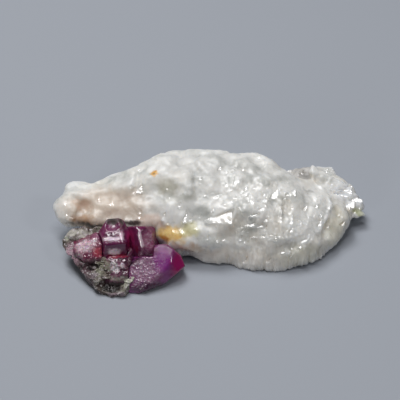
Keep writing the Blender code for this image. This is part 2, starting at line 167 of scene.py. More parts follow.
# %% Lay the table
TABLE_WIDTH = 4000.0
table_shape = bmesh.new()
bmesh.ops.create_grid(table_shape, x_segments=1, y_segments=1, size=TABLE_WIDTH / 2 * MM)
table_mesh = bpy.data.meshes.new("table")
table_shape.to_mesh(table_mesh)
table_shape.free()
table = bpy.data.objects.new("table", table_mesh)
bpy.context.scene.collection.objects.link(table)
table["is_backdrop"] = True
print("table width in mm:", TABLE_WIDTH)

# %% [markdown]
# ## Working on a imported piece
#
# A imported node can't be changed, so each piece starts as a copy of it. The copy's loose triangles are
# merged, and a voxel remesh turns the few large facets into an even skin of small ones, which a surface
# function can then move. Shapes are worked in millimetres here and brought back to metres at the end.

# %% Helpers that copy, remesh and move a skin
MERGE_DISTANCE = 1e-4


def copy_of(node):
    """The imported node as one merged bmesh, in millimetres."""
    shape = bmesh.new()
    shape.from_mesh(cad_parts[node].data)
    bmesh.ops.scale(shape, vec=(1 / MM, 1 / MM, 1 / MM), verts=shape.verts)
    bmesh.ops.remove_doubles(shape, verts=shape.verts, dist=MERGE_DISTANCE)
    return shape


def face_outwards(shape):
    """Turns every face of a closed shape outwards."""
    bmesh.ops.recalc_face_normals(shape, faces=shape.faces)
    if shape.calc_volume(signed=True) < 0:
        bmesh.ops.reverse_faces(shape, faces=shape.faces)


def remeshed(shape, voxel):
    """The shape with an even skin of faces of this size. The bmesh is used up."""
    mesh = bpy.data.meshes.new("work")
    shape.to_mesh(mesh)
    shape.free()
    holder = bpy.data.objects.new("work", mesh)
    bpy.context.scene.collection.objects.link(holder)
    remesh = holder.modifiers.new("skin", "REMESH")
    remesh.mode = "VOXEL"
    remesh.voxel_size = voxel
    evaluated = holder.evaluated_get(bpy.context.evaluated_depsgraph_get())
    result = bmesh.new()
    result.from_mesh(evaluated.to_mesh())
    face_outwards(result)
    bpy.data.objects.remove(holder)
    bpy.data.meshes.remove(mesh)
    return result


def keep_main_body(shape):
    """Deletes the specks that a remesh can leave beside a thin edge."""
    left = set(shape.verts)
    bodies = []
    while left:
        body = {left.pop()}
        front = list(body)
        while front:
            vertex = front.pop()
            near = {edge.other_vert(vertex) for edge in vertex.link_edges} - body
            body |= near
            front.extend(near)
        left -= body
        bodies.append(body)
    bodies.sort(key=len)
    for body in bodies[:-1]:
        bmesh.ops.delete(shape, geom=list(body), context="VERTS")


def smoothed(shape, rounds):
    """Relaxes the skin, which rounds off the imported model's large facets."""
    for _ in range(rounds):
        bmesh.ops.smooth_vert(
            shape, verts=shape.verts, factor=0.5, use_axis_x=True, use_axis_y=True, use_axis_z=True
        )


def move_skin(shape, offset_at):
    """Moves each vertex along its normal by the offset, in millimetres, that the function gives for it."""
    shape.normal_update()
    moves = [vertex.normal * offset_at(vertex.co) for vertex in shape.verts]
    for vertex, move in zip(shape.verts, moves):
        vertex.co += move


def finish_piece(shape, name, node, material, sharp_degrees):
    """Makes the piece from the bmesh, flat where it meets the table, and puts it in the node's place."""
    for vertex in shape.verts:
        vertex.co.z = max(vertex.co.z, 0.0)
    face_outwards(shape)
    bmesh.ops.triangulate(shape, faces=shape.faces)
    bmesh.ops.scale(shape, vec=(MM, MM, MM), verts=shape.verts)
    mesh = bpy.data.meshes.new(name)
    shape.to_mesh(mesh)
    shape.free()
    mesh.shade_smooth()
    mesh.set_sharp_from_angle(angle=math.radians(sharp_degrees))
    mesh.materials.append(material)
    piece = bpy.data.objects.new(name, mesh)
    bpy.context.scene.collection.objects.link(piece)
    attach(piece, "root")
    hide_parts(node)
    print(name, "triangles:", len(mesh.polygons))


# %% [markdown]
# ## Surface functions
#
# The relief comes in four kinds. Bowls are shell-like dents all over that lean different ways and meet in
# sharp crests. Terraces are thin steps, as on an etched crystal or in stacked mica. Ridges and hollows
# are raised lines and round dents at set places. Each is a function of the place, with its size in
# millimetres, so one set serves every piece.

# %% Shares, bowls, terraces, ridges and hollows
NOISE_SEED = 4
# Without a seed, noise_vector takes its offsets from the clock, and each run would give another stone.
noise.seed_set(NOISE_SEED)


def share(value, low, high):
    """0 below low, 1 above high and a smooth rise between them. low may be the larger one."""
    t = min(1.0, max(0.0, (value - low) / (high - low)))
    return t * t * (3 - 2 * t)


def bowls(place, size, tilt):
    """The height of dents that lean different ways, one to each cell, and meet in sharp crests."""
    at = place / size
    distances, cells = noise.voronoi(at)
    heights = []
    for distance, cell in zip(distances, cells):
        lean = noise.cell_vector(cell * 37.0) - Vector((0.5, 0.5, 0.5))
        heights.append(distance * distance + tilt * (at - cell).dot(lean))
    return min(heights) - 0.15


def terraces(height, step, softness):
    """Turns a smooth height into flat steps. softness is the share of a step that its riser takes."""
    level = math.floor(height / step)
    return (level + share(height / step - level, 1 - softness, 1)) * step


def distance_to_stretch(place, start, end):
    """The distance from a place to the straight stretch between two points."""
    foot, along = intersect_point_line(place, start, end)
    if 0 <= along <= 1:
        return (place - foot).length
    return min((place - start).length, (place - end).length)


def ridge(place, line, height, width):
    """A rounded ridge along a line of points, or a groove where the height is below 0."""
    nearest = min(distance_to_stretch(place, start, end) for start, end in zip(line, line[1:]))
    return height * math.exp(-((nearest / width) ** 2))


def hollows(place, table):
    """The depth at a place of the round hollows in a table of centres, radii and depths."""
    return sum(
        depth * math.exp(-(((place - Vector(centre)).length / radius) ** 2))
        for centre, radius, depth in table.values()
    )


# %% [markdown]
# ## How the matrix grips the crystals
#
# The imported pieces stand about 0.3 mm apart. In the real stone they touch, so the skin of the marble and
# of the rind is drawn to the nearest crystal wherever one is close. Later each crystal grows by a tenth of
# a millimetre, which closes what is left.

# %% Find the nearest crystal
GRIP_FULL = 0.55
GRIP_END = 0.95
GRIP_STRENGTH = 0.96

crystals = bmesh.new()
for crystal in ("upper_ruby_pair", "left_ruby", "lower_ruby", "right_ruby"):
    crystals.from_mesh(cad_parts[crystal].data)
bmesh.ops.scale(crystals, vec=(1 / MM, 1 / MM, 1 / MM), verts=crystals.verts)
crystal_tree = BVHTree.FromBMesh(crystals)
crystals.free()


def draw_to_crystals(shape):
    """Moves the skin nearly onto a crystal within GRIP_FULL, and part of the way within GRIP_END."""
    drawn = 0
    for vertex in shape.verts:
        nearest, _, _, distance = crystal_tree.find_nearest(vertex.co, GRIP_END)
        if nearest:
            vertex.co = vertex.co.lerp(nearest, GRIP_STRENGTH * share(distance, GRIP_END, GRIP_FULL))
            drawn += 1
    print("skin points near a crystal:", drawn)


# %% [markdown]
# ## The white marble
#
# The marble is coarse calcite with a broken skin. Its upper left bevel is calm and waxy. Towards the
# right and along the lower edge it is crisp, with dents 0.5 to 3 mm wide and small flat cleavage planes
# that mirror the light. A ridge closes the front mass off from the terrace on the right, and the lower
# front edge is combed with fine upright ridges, which make its outline ragged. All of this is real
# geometry, so it holds from every side. The numbers below are millimetres.

# %% The marble's sizes, ridges and dimples
STONE_VOXEL = 0.19
STONE_RELAX_ROUNDS = 7
# The size, the height and the tilt of each set of bowls.
LARGE_BOWLS = (2.6, 0.30, 1.4)
SMALL_BOWLS = (1.15, 0.17, 1.5)
FINE_BOWLS = (0.5, 0.05, 1.4)
CRINKLE = (0.8, 0.07, 1.5)
COMB_SPACING = 0.55
COMB_LENGTH = 5.0
COMB_HEIGHT = 0.50
MOST_RELIEF = 0.55
# The points, the height and the half width of each ridge.
RIDGES = {
    "terrace crest": (
        (
            (13.2, 2.6, 9.3), (15.0, 1.4, 8.5), (17.6, 1.6, 6.9), (18.7, 0.6, 6.4),
            (19.8, -2.7, 5.9), (19.0, -5.5, 5.4), (17.6, -7.9, 4.5),
        ),
        0.40, 0.35,
    ),
    "groove behind the crest": (((13.6, 4.2, 8.9), (16.2, 3.2, 7.5), (19.2, 2.4, 6.2)), -0.35, 0.6),
    "upright edge": (
        ((11.45, -3.0, 9.4), (11.4, -5.8, 8.5), (11.5, -8.3, 7.4), (11.6, -10.3, 6.0)),
        0.36, 0.22,
    ),
    "edge over the right crystal": (
        ((-9.5, -9.3, 4.2), (-6.9, -9.6, 4.1), (-3.6, -10.5, 3.6), (-1.5, -10.7, 2.6)),
        0.42, 0.8,
    ),
}
# The centre, the radius and the depth of each dimple.
DIMPLES = {
    "dark dimple": ((16.2, -1.2, 7.7), 0.9, 0.45),
    "left hollow": ((-20.2, -4.4, 6.4), 1.6, 0.15),
    "grey hollow": ((-6.3, -4.6, 9.9), 1.5, 0.30),
}
print("ridges and dimples:", len(RIDGES) + len(DIMPLES))

# %% [markdown]
# ## From calm to crisp
#
# One number says how broken the skin is at a place. It scales the bowls here, and later the grain and the
# gloss of the material, so shape and finish change together.

# %% Shape the marble's skin
CALM = 0.3
ridge_lines = [([Vector(point) for point in line], height, width) for line, height, width in RIDGES.values()]


def crispness(place):
    """How broken the skin is: CALM on the bevel, 1 on the right and nearly 1 low at the front."""
    right = share(place.x, -3.0, 6.0)
    low = 0.8 * share(place.z, 8.0, 4.5)
    in_front = 0.35 + 0.65 * share(place.y, 0.5, -3.5)
    at_right_end = share(place.x, 17.5, 20.5)
    return CALM + (1 - CALM) * max(right, low) * max(in_front, at_right_end)


def bowl_set(place, numbers):
    """One set of bowls, from its size, its height and its tilt."""
    size, height, tilt = numbers
    return height * bowls(place, size, tilt)


def marble_relief(place):
    """How far the marble's skin moves out at a place, in millimetres."""
    bent = place + 0.6 * noise.noise_vector(place / 2.2)
    crisp = crispness(place)
    # Broken edges on the front run upwards, so the small bowls are narrow and tall.
    tall = Vector((bent.x * 1.3, bent.y, bent.z * 0.65))
    relief = crisp * bowl_set(bent, LARGE_BOWLS)
    relief += crisp * bowl_set(tall, SMALL_BOWLS)
    relief += crisp * bowl_set(place, FINE_BOWLS)
    relief += bowl_set(place, CRINKLE)
    # The comb runs along the lower front edge, to the right of the crystals.
    comb = share(place.z, 4.2, 1.6) * share(place.y, -7.0, -9.5) * share(place.x, 0.0, 4.0)
    teeth = noise.noise(Vector((place.x / COMB_SPACING, place.y / COMB_LENGTH, place.z / COMB_LENGTH)))
    relief += COMB_HEIGHT * comb * (0.3 - abs(teeth))
    relief += sum(ridge(place, line, height, width) for line, height, width in ridge_lines)
    relief -= hollows(place, DIMPLES)
    return max(-MOST_RELIEF, min(MOST_RELIEF, relief))


marble_shape = remeshed(copy_of("white_matrix"), STONE_VOXEL)
smoothed(marble_shape, STONE_RELAX_ROUNDS)
move_skin(marble_shape, marble_relief)
draw_to_crystals(marble_shape)
keep_main_body(marble_shape)
print("marble skin:", len(marble_shape.verts), "vertices")

# %% [markdown]
# ## Cleavage planes
#
# Calcite splits along perfectly flat planes. Each plane in the table has a centre, a half width, a half
# height and the way it faces. It leans back at about 63 degrees, the angle that mirrors the light
# overhead towards a viewer who looks down at 40 degrees.

# %% Place the large cleavage planes
PLANES = (
    ((1.5, -8.0, 8.2), 2.5, 1.5, -95, 62),
    ((23.4, -0.2, 4.3), 0.94, 0.94, -98, 62),
    ((22.4, 2.0, 5.2), 1.7, 1.3, -92, 58),
    ((24.6, 1.6, 4.0), 1.3, 1, -98, 62),
    ((1.1, -5.0, 9.8), 0.9, 0.6, -90, 63),
    ((6.0, -4.9, 10.1), 0.61, 0.68, -85, 63),
    ((8.5, -5.8, 9.6), 0.9, 0.45, -98, 62),
    ((10.5, -3.9, 9.3), 0.75, 1.1, -96, 62),
    ((13.2, -3.4, 9.2), 0.94, 0.81, -92, 62),
    ((8.4, -7.1, 9.0), 0.81, 0.68, -90, 64),
    ((7.2, -8.0, 8.2), 1, 0.45, -95, 62),
    ((6.4, -8.8, 6.9), 0.94, 0.54, -90, 63),
    ((8.0, -9.0, 6.8), 0.68, 0.41, -92, 63),
    ((7.8, -10.1, 5.6), 1.2, 0.3, -95, 62),
    ((10.1, -10.7, 5.3), 0.9, 0.4, -97, 63),
    ((13.1, -7.8, 7.3), 0.41, 1.22, -95, 62),
    ((13.2, -9.3, 6.4), 0.41, 0.81, -97, 63),
    ((15.5, -5.0, 7.4), 0.41, 0.68, -98, 63),
    ((18.0, -6.4, 5.2), 0.41, 0.94, -98, 62),
    ((15.3, -10.0, 4.8), 0.61, 0.54, -98, 63),
    ((21.9, -4.7, 3.9), 0.41, 0.68, -100, 62),
    ((23.0, -0.9, 3.7), 0.54, 0.47, -100, 63),
    ((-11.6, -2.9, 9.6), 0.61, 0.94, -88, 63),
    ((-16.2, -4.3, 7.7), 0.41, 0.61, -86, 63),
    ((-7.6, -7.2, 7.3), 0.41, 0.94, -90, 62),
    ((-4.1, -7.6, 7.7), 0.41, 1.22, -90, 62),
    ((-3.1, -7.9, 7.6), 0.34, 0.81, -92, 63),
    ((-6.0, -8.8, 5.9), 0.34, 0.81, -90, 62),
    ((5.7, -11.6, 1.6), 0.41, 0.68, -90, 61),
    ((9.4, -12.1, 2.0), 0.41, 0.54, -92, 62),
)
print("widest cleavage plane in mm:", 2 * max(half_width for _, half_width, _, _, _ in PLANES))

# %% [markdown]
# ## Marks on the skin
#
# Two attributes tell the material about the shape. The one called crisp says how broken the skin is, and
# the one called polish marks the cleavage planes, which have no fine grain. A tree of the vertices finds
# those near a plane.

# %% Mark the skin
marble_shape.normal_update()
polish_layer = marble_shape.verts.layers.float.new("polish")
crisp_layer = marble_shape.verts.layers.float.new("crisp")
marble_shape.verts.ensure_lookup_table()
nearby = KDTree(len(marble_shape.verts))
for vertex in marble_shape.verts:
    vertex[crisp_layer] = crispness(vertex.co)
    nearby.insert(vertex.co, vertex.index)
nearby.balance()
crisp_points = sum(vertex[crisp_layer] > 0.5 for vertex in marble_shape.verts)
print("crisp share of the skin:", round(crisp_points / len(marble_shape.verts), 2))

# %% [markdown]
# ## Pressing a plane
#
# Each plane is pressed flat at the mean height of the skin under it, so it makes no step, but for a faint
# wave.

# %% The pressing function
PLANE_WAVE = 0.03
PLANE_WAVE_LENGTH = 0.9
PLANE_SEARCH_MARGIN = 0.4


def direction(azimuth, elevation):
    """A unit vector this many degrees round from +X and up from the floor."""
    a, e = math.radians(azimuth), math.radians(elevation)
    return Vector((math.cos(e) * math.cos(a), math.cos(e) * math.sin(a), math.sin(e)))


def press_flat(centre, half_width, half_height, facing):
    """Presses a wedge of the skin flat: it is low at its left end and as tall as stated at its right end."""
    centre = Vector(centre)
    across = Vector((0, 0, 1)).cross(facing).normalized()
    up = facing.cross(across)
    pressed = []
    for _, index, _ in nearby.find_range(centre, half_width + half_height + PLANE_SEARCH_MARGIN):
        vertex = marble_shape.verts[index]
        away = vertex.co - centre
        sideways, upwards = away.dot(across) / half_width, away.dot(up) / half_height
        top = 0.25 + 0.75 * max(-1.0, min(1.0, sideways))
        inside = share(max(abs(sideways), -upwards, 1 + upwards - top), 1.0, 0.84)
        if inside > 0 and vertex.normal.dot(facing) > 0:
            pressed.append((vertex, away.dot(facing), inside))
    level = sum(height for _, height, _ in pressed) / max(1, len(pressed))
    for vertex, height, inside in pressed:
        wave = PLANE_WAVE * noise.noise(vertex.co / PLANE_WAVE_LENGTH)
        vertex.co -= facing * (height - level - wave) * inside
        vertex[polish_layer] = max(vertex[polish_layer], inside)


# %% [markdown]
# ## Large planes, then tiny ones
#
# After the planes of the table come many tiny ones at seeded random places, because a grain of calcite
# splits along the same directions everywhere. They turn a little with the place, so that each still
# mirrors the light overhead, and they are kept where the skin already leans that way. The crisper the
# skin, the more of them it gets.

# %% Press the cleavage planes flat
TINY_PLANES = 200
PLANE_SEED = 11
TURN_PER_MM = 0.4
LEANS_ENOUGH = 0.9

for centre, half_width, half_height, azimuth, elevation in PLANES:
    press_flat(centre, half_width, half_height, direction(azimuth, elevation))

chance = random.Random(PLANE_SEED)
tiny = 0
while tiny < TINY_PLANES:
    vertex = marble_shape.verts[chance.randrange(len(marble_shape.verts))]
    facing = direction(
        -90 - TURN_PER_MM * vertex.co.x + chance.uniform(-5, 5), chance.uniform(60.5, 64.5)
    )
    free = vertex.normal.dot(facing) > LEANS_ENOUGH and vertex[polish_layer] == 0
    if free and chance.random() < vertex[crisp_layer] ** 2:
        press_flat(vertex.co, chance.uniform(0.15, 0.4), chance.uniform(0.25, 0.6), facing)
        tiny += 1
print("cleavage planes:", len(PLANES), "large and", tiny, "tiny")

# %% [markdown]
# ## Helpers for materials
#
# One function adds a node with its settings and its links. A dictionary of inputs holds a value or
# another node's output for each socket, by its name or, where names repeat, by its number. Stains, frost
# and hollows all sit at places in millimetres on the specimen, so a second function measures how much
# such a spot covers a place.

# %% The node helper and the spots
def add_node(tree, kind, inputs, **settings):
    """A new node with these settings. Each input is given a value, or is linked to a socket."""
    node = tree.nodes.new(kind)
    for name, value in settings.items():
        setattr(node, name, value)
    for name, value in inputs.items():
        if isinstance(value, bpy.types.NodeSocket):
            tree.links.new(value, node.inputs[name])
        else:
            node.inputs[name].default_value = value
    return node


def new_material(name):
    """A material, its node tree, its surface shader and the Object coordinates in metres."""
    material = bpy.data.materials.new(name)
    material.use_nodes = True
    tree = material.node_tree
    surface = tree.nodes["Principled BSDF"]
    place = add_node(tree, "ShaderNodeTexCoord", {}).outputs["Object"]
    return material, tree, surface, place


def mixed(tree, amount, first, second):
    """The first colour where the amount is 0, and the second where it is 1."""
    return add_node(tree, "ShaderNodeMix", {0: amount, 6: first, 7: second}, data_type="RGBA").outputs[2]


def noise_between(tree, place, size, low, high, detail=3.0):
    """Soft clouds about size millimetres wide: 0 where the noise is under low and 1 where it is over high."""
    scale = 1 / (size * MM)
    clouds = add_node(tree, "ShaderNodeTexNoise", {"Vector": place, "Scale": scale, "Detail": detail})
    return add_node(tree, "ShaderNodeMapRange", {0: clouds.outputs[0], 1: low, 2: high}).outputs[0]


def bent_place(tree, place, size, amount):
    """The place with a wander of this amount, in millimetres, which makes the edges of spots uneven."""
    wander = add_node(tree, "ShaderNodeTexNoise", {"Vector": place, "Scale": 1 / (size * MM), "Detail": 3.0})
    centred = add_node(
        tree, "ShaderNodeVectorMath", {0: wander.outputs["Color"], 1: (0.5, 0.5, 0.5)}, operation="SUBTRACT"
    )
    return add_node(
        tree, "ShaderNodeVectorMath", {0: centred.outputs[0], 1: [2 * amount * MM] * 3, 2: place},
        operation="MULTIPLY_ADD",
    ).outputs[0]


def spot(tree, place, centre, radii, strength):
    """How much a spot covers a place: its strength in the middle, and 0 a little outside its radii."""
    shift = [-c / r for c, r in zip(centre, radii)]
    shrink = [1 / (r * MM) for r in radii]
    from_centre = add_node(
        tree, "ShaderNodeMapping", {"Vector": place, "Location": shift, "Scale": shrink}
    )
    distance = add_node(tree, "ShaderNodeVectorMath", {0: from_centre.outputs[0]}, operation="LENGTH")
    return add_node(
        tree, "ShaderNodeMapRange", {0: distance.outputs["Value"], 1: 1.15, 2: 0.45, 3: 0.0, 4: strength},
        interpolation_type="SMOOTHSTEP",
    ).outputs[0]


def painted(tree, place, colour, spots):
    """The colour with each spot of a table laid over it."""
    for centre, radii, tone, strength in spots.values():
        colour = mixed(tree, spot(tree, place, centre, radii, strength), colour, linear(tone))
    return colour


def most_of(tree, place, spots):
    """The strongest of several spots at each place."""
    level = 0.0
    for centre, radii, strength in spots.values():
        covered = spot(tree, place, centre, radii, strength)
        level = add_node(tree, "ShaderNodeMath", {0: covered, 1: level}, operation="MAXIMUM").outputs[0]
    return level


def grain_facets(tree, place, size):
    """Flat grains of this size that lean different ways: their height, and two random numbers each."""
    grains = add_node(tree, "ShaderNodeTexVoronoi", {"Vector": place, "Scale": 1 / (size * MM)})
    tone = add_node(tree, "ShaderNodeSeparateColor", {0: grains.outputs["Color"]})
    lean = add_node(
        tree, "ShaderNodeVectorMath", {0: grains.outputs["Color"], 1: (0.5, 0.5, 0.5)}, operation="SUBTRACT"
    )
    inside = add_node(
        tree, "ShaderNodeVectorMath", {0: place, 1: grains.outputs["Position"]}, operation="SUBTRACT"
    )
    height = add_node(
        tree, "ShaderNodeVectorMath", {0: lean.outputs[0], 1: inside.outputs[0]}, operation="DOT_PRODUCT"
    )
    return height.outputs["Value"], tone.outputs[0], tone.outputs[1]


# %% [markdown]
# ## Marble, cleaved
#
# Coarse calcite marble, broken and unpolished. Light enters two or three millimetres and comes back,
# which gives a milky, waxy white with grey clouds where it is clearer. The cleavage planes are smooth, so
# they flash, and the skin between them has a soft sheen. Iron has stained it yellow above the rubies, and
# the left arm is faintly peach. The same table holds painted shade on the top, low on the front, under
# the left arm, behind the front mass, on the terrace and in the dark dimple, and painted light on the
# right tip. Each spot has a centre, three radii in millimetres, a colour and a strength.

# %% The marble's colours, stains and painted shade
MARBLE_WHITE = "#ECEBE8"
MARBLE_GREY = "#C5C6C2"
MARBLE_WARM = "#E2DCD2"
STAINS_AND_PAINTED_SHADING = {
    "left arm peach": ((-17.0, -4.8, 6.8), (9.0, 4.6, 4.2), "#D9C8B8", 0.8),
    "left arm brown": ((-21.0, -3.6, 6.6), (2.2, 1.4, 1.2), "#D6B69C", 0.5),
    "arm front brown": ((-20.6, -5.9, 5.4), (2.9, 1.2, 1.0), "#C29A78", 0.7),
    "grey patch": ((-7.0, -3.4, 10.3), (2.6, 1.6, 1.4), "#B4B0A0", 0.7),
    "grey below the patch": ((-5.0, -5.2, 9.6), (3.4, 1.2, 0.9), "#B9B7AC", 0.5),
    "iron stain": ((-6.2, -9.2, 4.9), (3.7, 2.0, 1.8), "#F2CC84", 0.95),
    "iron stain core": ((-7.2, -9.0, 4.7), (2.0, 1.3, 0.6), "#D49A38", 0.5),
    "weak iron stain": ((-3.3, -9.2, 6.1), (2.4, 1.6, 1.1), "#CDC794", 0.75),
    # Painted shade, low on the front.
    "lower shade": ((4.0, -11.5, 1.6), (13.0, 3.0, 2.4), "#EEE4D8", 0.6),
    # Painted shade on the top of the stone.
    "painted shade on the top": ((-2.0, 0.5, 11.3), (8.0, 4.5, 2.4), "#D4D4D2", 0.6),
    # Painted shade, low on the right.
    "lower right shade": ((15.5, -11.5, 2.4), (6.0, 3.0, 2.2), "#DEDAC8", 0.5),
    "right edge cream": ((20.5, -5.0, 3.2), (2.6, 6.0, 2.6), "#F0EAD8", 0.7),
    # Painted shade behind the crest on the terrace, and in the dark dimple.
    "terrace shade": ((15.9, 5.6, 5.6), (3.6, 3.4, 2.6), "#A29E9A", 0.8),
    "dimple shade": ((16.2, -1.0, 7.8), (0.9, 0.9, 0.9), "#9B9A95", 0.6),
    # Painted light on the right tip.
    "painted light on the right tip": ((22.6, 1.5, 4.9), (4.0, 3.0, 2.6), "#FFFFFF", 1.0),
    "right edge green": ((24.9, -0.9, 2.7), (1.3, 1.0, 0.9), "#C2C49C", 0.8),
    # Painted shade under the left arm, where it meets the rind.
    "painted shade under the arm": ((-21.0, -6.6, 4.3), (4.0, 1.2, 0.8), "#5E5040", 0.8),
    "pink above the crystals": ((-10.0, -7.6, 6.4), (3.4, 1.6, 1.4), "#E4CCBC", 0.7),
    "pink low edge": ((-3.6, -10.4, 3.4), (3.0, 1.2, 1.4), "#D2B89C", 0.7),
    # Painted shade behind the front mass.
    "shade behind the mass": ((11.0, 4.0, 9.4), (3.2, 2.4, 1.8), "#B2ADA6", 0.6),
    "iron speck": ((-9.0, -1.2, 11.3), (0.75, 0.75, 0.9), "#E2A93C", 0.95),
    "iron speck core": ((-8.95, -1.25, 11.3), (0.3, 0.3, 0.6), "#6B4A1E", 0.9),
}
FRINGE = {
    "fringe, left": ((-14.8, -7.4, 6.6), (1.7, 0.75, 0.8), "#4A3834", 1.0),
    "fringe, right": ((-12.7, -7.5, 6.2), (2.0, 0.6, 0.65), "#3E2C2A", 1.0),
}
print("stains on the marble:", len(STAINS_AND_PAINTED_SHADING) + len(FRINGE))

# %% [markdown]
# ## The marble's colour
#
# Grey clouds come first, then warm ones, then the stains, the painted shade and the painted light over
# both. Their place wanders, so their edges are uneven. The mica fringe above the crystals wanders less,
# because it is thin. Last, each grain is a little lighter or darker than the next.

# %% Colour the marble
MARBLE_GRAIN = 0.6

marble, tree, surface, place = new_material("calcite marble, cleaved")
bent = bent_place(tree, place, 1.6, 1.2)
streaked = add_node(
    tree, "ShaderNodeMapping", {"Vector": bent, "Rotation": (0.0, 0.3, 0.4), "Scale": (0.55, 1.0, 1.3)}
).outputs[0]
grey_clouds = noise_between(tree, streaked, 2.4, 0.44, 0.68, 5.0)
warm_clouds = noise_between(tree, bent, 7.0, 0.5, 0.75, 2.0)
colour = mixed(tree, grey_clouds, linear(MARBLE_WHITE), linear(MARBLE_GREY))
colour = mixed(tree, warm_clouds, colour, linear(MARBLE_WARM))
colour = painted(tree, bent, colour, STAINS_AND_PAINTED_SHADING)
colour = painted(tree, bent_place(tree, place, 0.5, 0.25), colour, FRINGE)
upright = add_node(tree, "ShaderNodeMapping", {"Vector": place, "Scale": (1.2, 0.8, 0.6)}).outputs[0]
height, grain_light, grain_gloss = grain_facets(tree, upright, MARBLE_GRAIN)
grain_light = add_node(tree, "ShaderNodeMapRange", {0: grain_light, 3: 0.98, 4: 1.02}).outputs[0]
colour = add_node(tree, "ShaderNodeVectorMath", {0: colour, 1: grain_light}, operation="MULTIPLY").outputs[0]
tree.links.new(colour, surface.inputs["Base Color"])
print("marble nodes for the colour:", len(tree.nodes))

# %% [markdown]
# ## The marble's grain, gloss and depth
#
# Where the skin is crisp, the grains lean different ways and carry a sugary roughness. Each has its own
# gloss, so some of them flash. The calm bevel is evenly waxy, and the cleavage planes are nearly mirrors.

# %% Give the marble its grain, gloss and depth
SUGAR_SIZE = 0.3
SUGAR_HEIGHT = 0.03
CALM_ROUGHNESS = 0.5
PLANE_ROUGHNESS = 0.09
CALCITE_IOR = 1.6
MARBLE_LIGHT_DEPTH = 2.8

polished = add_node(tree, "ShaderNodeAttribute", {}, attribute_name="polish").outputs["Fac"]
broken = add_node(tree, "ShaderNodeAttribute", {}, attribute_name="crisp").outputs["Fac"]
unpolished = add_node(tree, "ShaderNodeMapRange", {0: polished, 3: 0.2, 4: 0.0}).outputs[0]
unpolished = add_node(tree, "ShaderNodeMath", {0: unpolished, 1: broken}, operation="MULTIPLY").outputs[0]
facets = add_node(tree, "ShaderNodeBump", {"Height": height, "Strength": unpolished, "Distance": 1.0})
sugar = add_node(tree, "ShaderNodeTexNoise", {"Vector": place, "Scale": 1 / (SUGAR_SIZE * MM), "Detail": 2.0})
skin = add_node(
    tree, "ShaderNodeBump",
    {
        "Height": sugar.outputs[0], "Strength": unpolished, "Distance": SUGAR_HEIGHT * MM,
        "Normal": facets.outputs[0],
    },
)
gloss = add_node(tree, "ShaderNodeMapRange", {0: grain_gloss, 3: 0.18, 4: 0.42}).outputs[0]
gloss = add_node(tree, "ShaderNodeMix", {0: broken, 2: CALM_ROUGHNESS, 3: gloss}).outputs[0]
gloss = add_node(tree, "ShaderNodeMix", {0: polished, 2: gloss, 3: PLANE_ROUGHNESS}).outputs[0]
tree.links.new(gloss, surface.inputs["Roughness"])
tree.links.new(skin.outputs[0], surface.inputs["Normal"])
surface.inputs["IOR"].default_value = CALCITE_IOR
surface.inputs["Subsurface Weight"].default_value = 0.9
surface.inputs["Subsurface Radius"].default_value = (1.0, 0.95, 0.88)
surface.inputs["Subsurface Scale"].default_value = MARBLE_LIGHT_DEPTH * MM

finish_piece(marble_shape, "marble_stone", "white_matrix", marble, sharp_degrees=38)

# %% [markdown]
# ## The mica rind
#
# Mica schist is a stack of thin shiny flakes with dark iron and clay between them. It broke along the
# flakes, so its skin is stepped and pitted, and only the ledge at its upper left is calm. Each pit has a
# centre, a radius and a depth, in millimetres. On the right the rind ends in a flap that laps over the
# right crystal in ragged tongues.

# %% The rind's sizes and pits
RIND_VOXEL = 0.11
RIND_RELAX_ROUNDS = 3
LEDGE_CENTRE = (-21.8, -9.1, 4.8)
FLAKE_DIRECTION = Vector((0.25, -0.35, 0.9)).normalized()
FLAKE_STEP = 0.24
RIND_LOWEST = -0.6
RIND_HIGHEST = 0.4
TONGUE_WIDTH = 0.8
TONGUE_LENGTH = 0.9
RIND_PITS = {
    "deep pit": ((-18.9, -13.9, 3.0), 0.9, 0.6),
    "trench left": ((-21.2, -13.6, 2.7), 0.55, 0.5),
    "trench middle": ((-20.3, -14.3, 2.4), 0.6, 0.55),
    "trench right": ((-19.4, -14.9, 2.3), 0.5, 0.5),
    "crust hole": ((-17.0, -15.3, 2.9), 0.35, 0.45),
    "crust notch": ((-17.9, -14.0, 3.3), 0.35, 0.35),
}
print("pits in the rind:", len(RIND_PITS))

# %% [markdown]
# ## Flakes, pits and the flap
#
# The flakes are terraces across one slanting direction, laid over bowls of two sizes. The flap is made
# last, because it has to lie on the crystal after the skin has been drawn to it.

# %% Shape the rind's skin
def rind_relief(place):
    """How far the rind's skin moves out at a place, in millimetres."""
    calm = 0.55 * share((place - Vector(LEDGE_CENTRE)).length, 2.6, 1.4)
    height = place.dot(FLAKE_DIRECTION) + 0.8 * noise.noise(place / 1.3)
    relief = 0.6 * (terraces(height, FLAKE_STEP, 0.3) - height)
    bent = place + 0.4 * noise.noise_vector(place / 0.9)
    relief += 0.34 * bowls(bent, 1.2, 1.3) + 0.10 * bowls(bent, 0.5, 1.2)
    relief -= hollows(place, RIND_PITS)
    return max(RIND_LOWEST, min(RIND_HIGHEST, relief * (1 - calm)))


def lay_flap(shape):
    """Spreads the rind's right edge in ragged tongues over the left side of the right crystal."""
    for vertex in shape.verts:
        x, y, z = vertex.co
        near_edge = share(x, -13.9, -12.9) * share(y, -14.4, -15.2) * share(z, 0.4, 1.2)
        tongue = 0.35 + 1.1 * noise.noise(Vector((0.0, y / TONGUE_WIDTH, z / TONGUE_WIDTH)))
        vertex.co += near_edge * Vector((max(0.0, tongue) * TONGUE_LENGTH, -0.10, 0.26))


rind_shape = remeshed(copy_of("mica_rind"), RIND_VOXEL)
smoothed(rind_shape, RIND_RELAX_ROUNDS)
move_skin(rind_shape, rind_relief)
draw_to_crystals(rind_shape)
lay_flap(rind_shape)
keep_main_body(rind_shape)
print("rind skin:", len(rind_shape.verts), "vertices")
